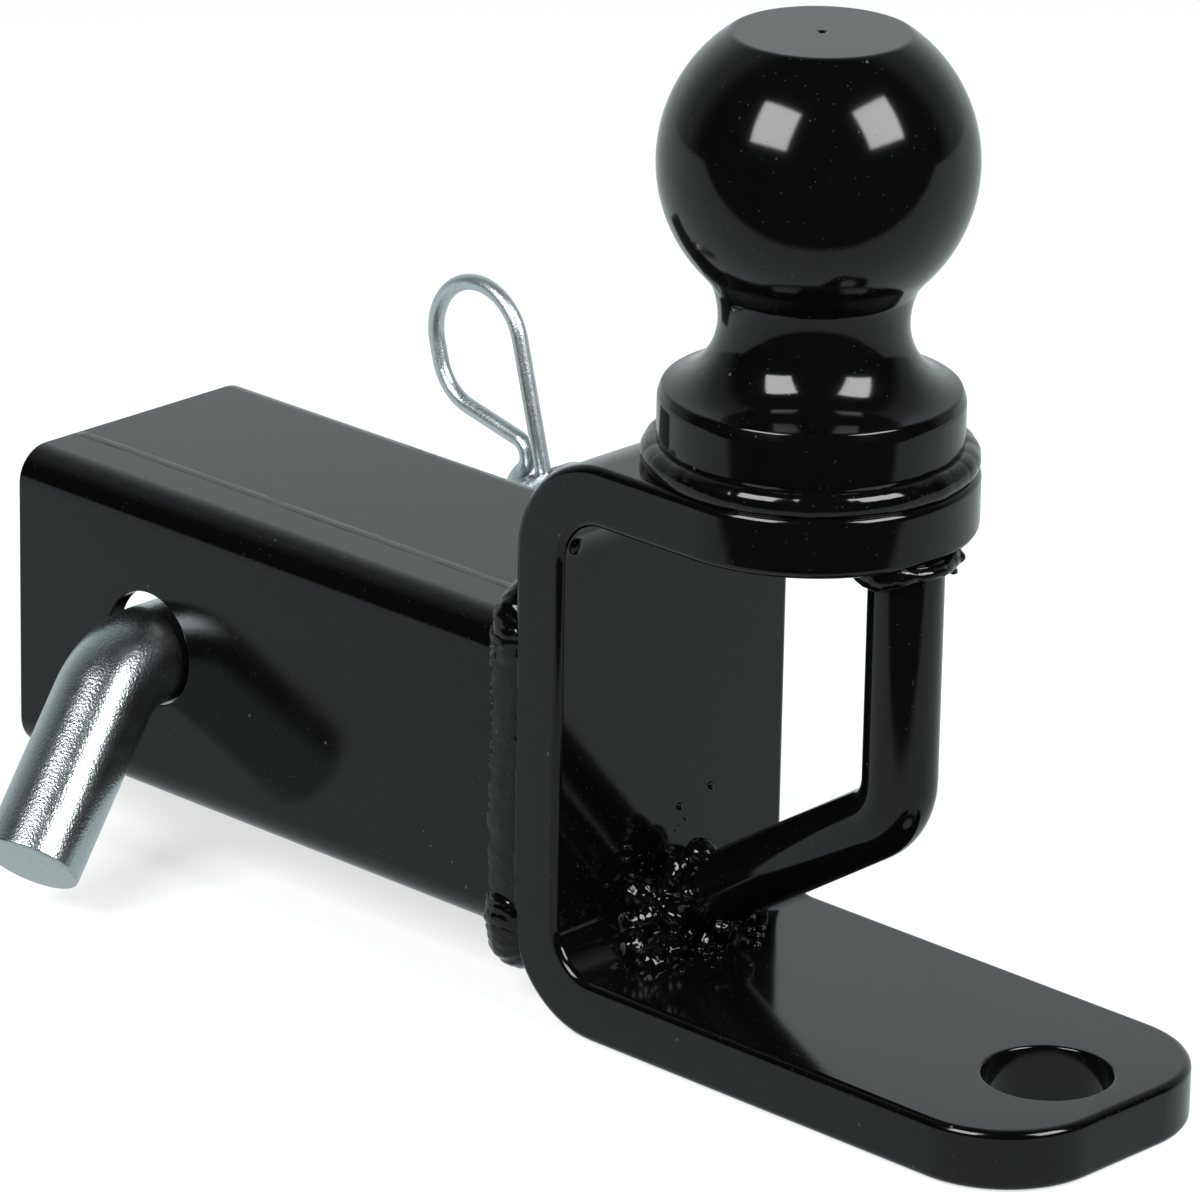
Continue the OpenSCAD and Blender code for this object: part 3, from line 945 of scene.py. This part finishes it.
class HITCH_OT_welds(bpy.types.Operator):
    """Builds the weld beads and the spatter round them"""

    bl_idname = "hitch.welds"
    bl_label = "Welds"

    def execute(self, context):
        self.rng = random.Random(context.scene.hitch_stage.seed)
        self.ball_ring(context)
        at = loop_sizes(context.scene.hitch_wire, context.scene.hitch_bracket)
        self.loop_top(at)
        self.loop_foot(at)
        self.shank_beads(context)
        self.spatter(at)
        return {"FINISHED"}

    def finish(self, name, bm, replaces=()):
        return new_piece(name, bm, "enamel_bead", "hitch", replaces)

    def ball_ring(self, context):
        """The even bead round the base of the ball"""
        bead, lift = 2.4 * MM, 1.44 * MM
        bm = bmesh.new()
        ring_bead(bm, Vector((BALL_CENTRE.x, 0, BALL_LOW.z + lift)),
                  context.scene.hitch_ball.base / 2, bead, pitch=4.2 * MM, rough=0.05)
        self.finish("bead_ball", bm, ["weld_ball_ring"])

    def loop_top(self, at):
        """The uneven bead where the tow loop meets the top leg, thin on the ball's side"""
        bead, hang, spread = 2.7 * MM, 0.9 * MM, 0.6 * MM
        bare, blend, thin = 0.6, 0.7, 0.35

        def thick(t):
            aside = abs((t + math.pi) % (2 * math.pi) - math.pi)
            return thin + (1 - thin) * min(1.0, max(0.0, (aside - bare) / blend))

        bm = bmesh.new()
        centre = standing(at["under"]) - Vector((0, 0, hang))
        ring_bead(bm, centre, at["r"] + spread, bead, pitch=3.4 * MM, rough=0.22, size=thick,
                  seed=3.0)
        for _ in range(16):
            t = self.rng.uniform(0.9, 2 * math.pi - 0.9)
            out = at["r"] + self.rng.uniform(0.4, 3.0) * MM
            drop = Vector((0, 0, self.rng.uniform(-2.4, 0.6) * MM))
            size = self.rng.uniform(0.7, 1.7) * MM
            lump(bm, centre + out * Vector((math.cos(t), math.sin(t), 0)) + drop, UPRIGHT,
                 (size, size, size * 0.8))
        top = self.finish("bead_loop_top", bm, ["weld_loop_top"])
        remeshed(top, 0.3 * MM)
        roughen(top, height=0.15 * MM, size=1.6 * MM, seed=5.0)

    def loop_foot(self, at):
        """The heap of weld in the bracket's lower bend, and round the rod's end"""
        corner, ahead = standing(at["corner"]), standing(at["ahead"])
        over = Vector((-ahead.z, 0, ahead.x))
        reach = 13 * MM
        bm = bmesh.new()
        for _ in range(58):
            t = self.rng.uniform(math.radians(170), math.radians(285))
            y = max(-reach, min(reach, self.rng.gauss(0, 6.2 * MM)))
            out = self.rng.uniform(5.4, 7.6) * MM
            size = self.rng.uniform(1.6, 3.2) * MM
            lump(bm, corner + Vector((out * math.cos(t), y, out * math.sin(t))), UPRIGHT,
                 (size, size * self.rng.uniform(0.8, 1.3), size))
        for _ in range(34):
            t = self.rng.uniform(0, 2 * math.pi)
            along = self.rng.uniform(-4.0, 3.4) * MM
            round_rod = math.cos(t) * ACROSS + math.sin(t) * over
            size = self.rng.uniform(1.3, 2.6) * MM
            lump(bm, corner + along * ahead + (at["r"] + 0.2 * MM) * round_rod, UPRIGHT,
                 (size, size, size))
        foot = self.finish("bead_loop_foot", bm, ["weld_loop_foot"])
        remeshed(foot, 0.32 * MM)
        roughen(foot, height=0.30 * MM, size=1.7 * MM, seed=11.0)

    def shank_beads(self, context):
        """Beads all round the tube where it meets the back of the bracket"""
        outline = square_ring(TUBE_HIGH.y, context.scene.hitch_shank.corner)
        runs = {"top": [], "bottom": [], "left": [], "right": []}
        for p, q in zip(outline, outline[1:] + outline[:1]):
            p, q = Vector(p), Vector(q)
            steps = max(1, round((q - p).length / (1.6 * MM)))
            out = Vector(((q - p).y, -(q - p).x)).normalized()
            flatness = abs(out.y) ** 3
            flat_lump = TOP_LUMP if out.y > 0 else BOTTOM_LUMP
            back, proud, *size = [(a + (b - a) * flatness) * MM
                                  for a, b in zip(SIDE_LUMP, flat_lump)]
            side = "left" if out.x > 0 else "right"
            if abs(out.y) > 0.7:
                side = "top" if out.y > 0 else "bottom"
            for k in range(steps):
                spot = p.lerp(q, k / steps) + out * proud
                runs[side].append((Vector((TUBE_HIGH.x - back, *spot)), size,
                                   ((1, 0, 0), (0, *out), (0, -out.y, out.x))))
        for name, lumps in runs.items():
            bm = bmesh.new()
            for spot, size, axes in lumps:
                grow = self.rng.uniform(0.95, 1.02)
                lean = self.rng.uniform(-0.25, 0.25) * MM
                lump(bm, spot + Vector((lean, 0, 0)), axes, [s * grow for s in size], 2)
            bead = self.finish(f"bead_shank_{name}", bm, [f"weld_shank_{name}"])
            remeshed(bead, 0.32 * MM)
            roughen(bead, height=0.07 * MM, size=2.6 * MM, seed=2.0)

    def spatter(self, at):
        """Small drops of weld metal on the tongue and the upright leg, and a larger one"""
        tongue_z, face_x = BAR_LOW.z + BAR_THICK, BAR_LOW.x + BAR_THICK
        reach, spread, gap = 22 * MM, 5 * MM, 1.0 * MM
        bm = bmesh.new()
        for k in range(60):
            size = self.rng.choice((0.2, 0.28, 0.35, 0.5, 0.75)) * MM
            y = max(-reach, min(reach, self.rng.gauss(-2 * MM, 7 * MM)))
            out = abs(self.rng.gauss(0, spread)) + gap
            if k % 2:
                spot = (at["corner"].x + out, y, tongue_z + 0.2 * size)
                shape = (1.3, 1.1, 0.7)
            else:
                spot = (face_x + 0.2 * size, y, at["corner"].y + out)
                shape = (0.7, 1.1, 1.3)
            lump(bm, spot, UPRIGHT, [size * s for s in shape], 2)
        under_leg = Vector((face_x, BAR_LOW.y, BAR_HIGH.z - BAR_THICK))
        lump(bm, under_leg + Vector((0.3, 3.0, -5.0)) * MM, UPRIGHT,
             (0.9 * MM, 1.3 * MM, 1.6 * MM))
        self.finish("weld_spatter", bm)


# ---------------------------------------------------------------- stage

AIM = Vector((79.10, -5.72, 25.10)) * MM

# The floor is darker in the gloss in front of a line, with a soft edge
FLOOR_HALF, FLOOR_GAP = 6.0, 0.2 * MM
FLOOR_ALBEDO, FLOOR_GLOW = 0.42, 0.80
FLOOR_FRONT, FLOOR_BLUR = -0.22, 0.012
GLOSS_FRONT, GLOSS_BACK, GLOSS_TINT = 0.02, 0.76, (0.90, 1.0, 1.0)

# The room from the camera's side to the far side, as (position, colour)
ROOM_FRONT = (0.06, (0.006, 0.006, 0.006))
ROOM_MIDDLE = (0.42, (0.31, 0.35, 0.355))
ROOM_BACK = (0.95, (0.84, 0.92, 0.93))
BACKDROP = (0.97, 0.985, 0.985)

# The way from the ball to each softbox, to the right, up and towards the camera
SOFTBOXES = {"softbox_left": (-0.517, 0.356, 0.779), "softbox_right": (0.645, 0.378, 0.664)}
SOFTBOX_SIZE, SOFTBOX_DISTANCE, SOFTBOX_POWER = 0.52, 1.05, 15.0


def camera_axes(stage):
    """Right, up and forward of the camera"""
    a, e, roll = stage.azimuth, stage.elevation, stage.roll
    ahead = Vector((-math.sin(a) * math.cos(e), math.cos(a) * math.cos(e), -math.sin(e)))
    right = Vector((math.cos(a), math.sin(a), 0))
    up = right.cross(ahead)
    return (math.cos(roll) * right + math.sin(roll) * up,
            -math.sin(roll) * right + math.cos(roll) * up, ahead)


def emission(tree, strength, tint):
    """Light of a colour and a strength"""
    return add_node(tree, "Emission", {"Color": tuple(tint), "Strength": strength}).outputs[0]


def light_path(tree, ray):
    """A mask of the rays of one kind"""
    return add_node(tree, "LightPath", {}).outputs[ray]


def distance_along(tree, place, way):
    """How far a place lies along a direction"""
    return add_node(tree, "VectorMath", {0: place, 1: way},
                    operation="DOT_PRODUCT").outputs["Value"]


class HITCH_OT_stage(bpy.types.Operator):
    """Builds the floor, the lights, the surroundings and the camera"""

    bl_idname = "hitch.stage"
    bl_label = "Stage"

    def execute(self, context):
        stage = context.scene.hitch_stage
        context.scene.view_settings.view_transform = "Standard"
        away = Vector((-math.sin(stage.azimuth), math.cos(stage.azimuth), 0))
        self.add_floor(stage, away)
        self.add_surroundings(context, away)
        self.add_lights(stage)
        self.add_camera(context, stage)
        return {"FINISHED"}

    def add_floor(self, stage, away):
        """A pale floor that is lit evenly, and darker in the gloss in front of the hitch"""
        bm = bmesh.new()
        z = BAR_LOW.z - FLOOR_GAP
        bm.faces.new(ring_of(bm, [(x * FLOOR_HALF, y * FLOOR_HALF, z)
                                  for x, y in ((-1, -1), (1, -1), (1, 1), (-1, 1))]))
        floor = new_object("floor", bm)
        material, tree, shader = new_material("floor")
        tree.nodes.remove(shader)
        diffuse = add_node(tree, "BsdfDiffuse", {"Color": tinted(stage.floor, FLOOR_ALBEDO)})
        lit = add_node(tree, "AddShader",
                       {0: diffuse.outputs[0], 1: emission(tree, FLOOR_GLOW, stage.floor)})
        edge = add_node(tree, "MapRange",
                        {"Value": distance_along(tree, place_in(tree), away),
                         "From Min": FLOOR_FRONT - FLOOR_BLUR,
                         "From Max": FLOOR_FRONT + FLOOR_BLUR,
                         "To Min": GLOSS_FRONT, "To Max": GLOSS_BACK},
                        interpolation_type="SMOOTHSTEP")
        mix = add_node(tree, "MixShader",
                       {0: light_path(tree, "Is Glossy Ray"), 1: lit.outputs[0],
                        2: emission(tree, edge.outputs[0], GLOSS_TINT)})
        feed(tree, tree.nodes["Material Output"].inputs["Surface"], mix.outputs[0])
        floor.data.materials.append(material)

    def add_surroundings(self, context, away):
        """A pale sweep behind the hitch and a dark room in front, as a sky"""
        world = bpy.data.worlds.new("studio")
        context.scene.world = world
        world.use_nodes = True
        tree = world.node_tree
        wall = add_node(tree, "ValToRGB",
                        {"Fac": distance_along(tree, place_in(tree, "Generated"), away)})
        wall.color_ramp.interpolation = "EASE"
        stops = wall.color_ramp.elements
        for stop, (position, tint) in zip((stops[0], stops[1]), (ROOM_FRONT, ROOM_BACK)):
            stop.position = position
            stop.color = (*tint, 1)
        stops.new(ROOM_MIDDLE[0]).color = (*ROOM_MIDDLE[1], 1)
        seen = mix_colour(tree, light_path(tree, "Is Camera Ray"), wall.outputs["Color"],
                          BACKDROP)
        feed(tree, tree.nodes["Background"].inputs["Color"], seen)

    def add_lights(self, stage):
        """Two square softboxes in front of the hitch, seen in the gloss of the ball"""
        right, up, ahead = camera_axes(stage)
        for name, (x, y, z) in SOFTBOXES.items():
            way = x * right + y * up - z * ahead
            data = bpy.data.lights.new(name, "AREA")
            data.shape = "SQUARE"
            data.size = SOFTBOX_SIZE
            data.energy = SOFTBOX_POWER
            light = bpy.data.objects.new(name, data)
            light.location = BALL_CENTRE + way.normalized() * SOFTBOX_DISTANCE
            light.rotation_mode = "QUATERNION"
            light.rotation_quaternion = way.to_track_quat("Z", "Y")
            bpy.context.scene.collection.objects.link(light)

    def add_camera(self, context, stage):
        right, up, ahead = camera_axes(stage)
        data = bpy.data.cameras.new("camera")
        data.lens = stage.lens
        data.clip_start, data.clip_end = 0.05, 30.0
        camera = bpy.data.objects.new("camera", data)
        turn = Matrix((right, up, -ahead)).transposed().to_4x4()
        camera.matrix_world = Matrix.Translation(AIM - ahead * stage.distance) @ turn
        context.scene.collection.objects.link(camera)
        context.scene.camera = camera


# ---------------------------------------------------------------- add-on

class HITCH_PT_panel(bpy.types.Panel):
    """Buttons for each step and the sizes behind them"""

    bl_idname = "HITCH_PT_panel"
    bl_label = "Trailer hitch"
    bl_space_type = "VIEW_3D"
    bl_region_type = "UI"
    bl_category = "Hitch"

    def draw(self, context):
        column = self.layout.column(align=True)
        for operator in STEPS:
            column.operator(operator.bl_idname)
        for name, group in GROUPS.items():
            box = self.layout.box()
            box.label(text=name.replace("hitch_", "").capitalize())
            for prop in group.__annotations__:
                box.prop(getattr(context.scene, name), prop)


GROUPS = {"hitch_shank": HitchShankSizes, "hitch_bracket": HitchBracketSizes,
          "hitch_ball": HitchBallSizes, "hitch_wire": HitchWireSizes,
          "hitch_paint": HitchPaint, "hitch_stage": HitchStage}
STEPS = [HITCH_OT_finishes, HITCH_OT_shank, HITCH_OT_bracket, HITCH_OT_ball,
         HITCH_OT_tow_loop, HITCH_OT_pin, HITCH_OT_clip, HITCH_OT_welds, HITCH_OT_stage]


def register():
    for cls in [*GROUPS.values(), *STEPS, HITCH_PT_panel]:
        bpy.utils.register_class(cls)
    for name, group in GROUPS.items():
        setattr(bpy.types.Scene, name, PointerProperty(type=group))


def unregister():
    for name in GROUPS:
        delattr(bpy.types.Scene, name)
    for cls in [HITCH_PT_panel, *reversed(STEPS), *reversed(GROUPS.values())]:
        bpy.utils.unregister_class(cls)


def main():
    register()
    for operator in STEPS:
        getattr(bpy.ops.hitch, operator.bl_idname.split(".")[1])()


if __name__ == "__main__":
    main()
